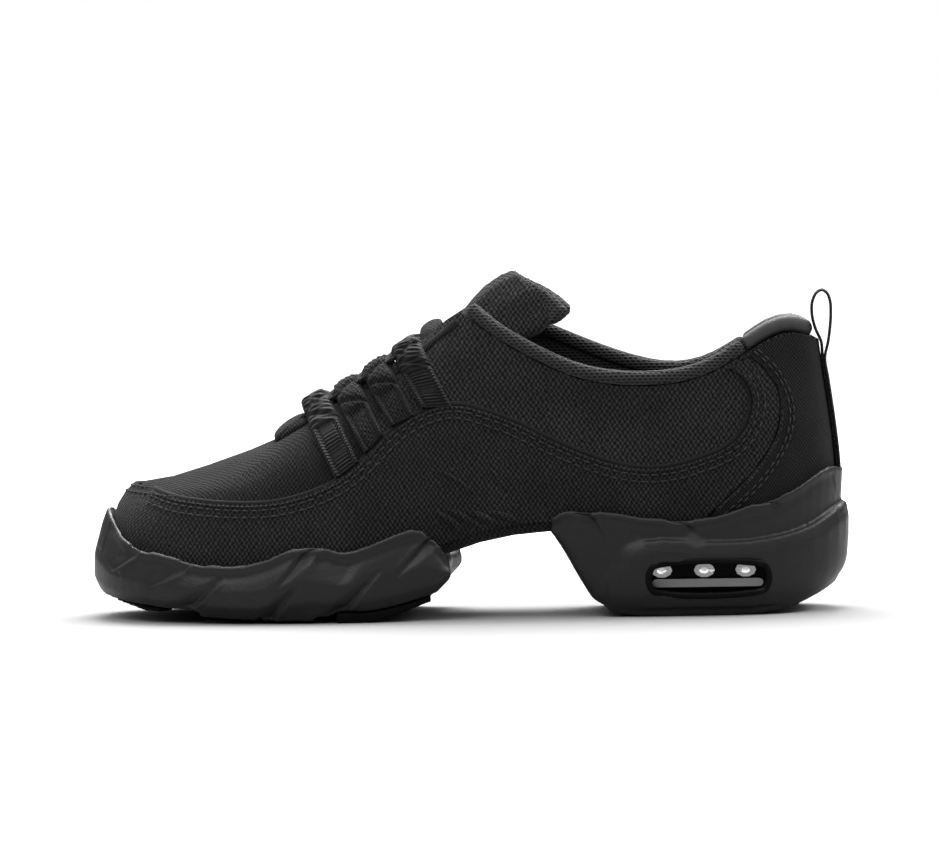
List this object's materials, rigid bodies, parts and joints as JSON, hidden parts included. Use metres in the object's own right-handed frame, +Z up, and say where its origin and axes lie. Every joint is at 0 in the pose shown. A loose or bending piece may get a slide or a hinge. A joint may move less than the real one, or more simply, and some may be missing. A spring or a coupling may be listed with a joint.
{
  "type": "dance sneaker",
  "caption": "Low left dance sneaker with a hollow canvas upper, split sole, bare fabric arch, raised heel unit with clear side windows, webbing lace loops and a heel pull loop.",
  "frame": {"origin": "middle of the flat rest face under the heel, on the floor", "axes": "+X towards the heel, -X towards the toe, -Y the outer side of the left foot, +Z up"},
  "size_m": [0.2717, 0.0965, 0.1206],
  "materials": {
    "canvas": "matte woven",
    "coarse_weave": "matte coarse weave",
    "knit": "matte padded mesh",
    "webbing": "ribbed webbing",
    "smooth_patch": "smooth satin",
    "sole_foam": "satin moulded",
    "heel_shell": "satin moulded",
    "outsole_rubber": "matte",
    "insole_cloth": "matte",
    "clear_plastic": "clear gloss"
  },
  "bodies": {
    "root": {"upper": "canvas", "insole": "insole_cloth", "tongue": "canvas", "forefoot_midsole": "sole_foam", "heel_midsole": "sole_foam", "heel_frame": "heel_shell", "cushion_outer": "clear_plastic", "cushion_inner": "clear_plastic", "heel_outsole": "outsole_rubber", "toe_pad": "outsole_rubber", "ball_pad_front": "outsole_rubber", "ball_pad_rear": "outsole_rubber", "rear_pad": "outsole_rubber", "side_overlay": "coarse_weave", "heel_counter": "canvas", "throat_binding_outer": "smooth_patch", "throat_binding_inner": "smooth_patch", "collar_roll_outer": "knit", "collar_roll_inner": "knit", "heel_tab": "smooth_patch", "lace": "webbing", "pull_loop": "webbing", "lace_loop_outer_1": "webbing", "lace_loop_inner_1": "webbing", "lace_loop_outer_2": "webbing", "lace_loop_inner_2": "webbing", "lace_loop_outer_3": "webbing", "lace_loop_inner_3": "webbing", "lace_loop_outer_4": "webbing", "lace_loop_inner_4": "webbing"}
  },
  "joints": []
}
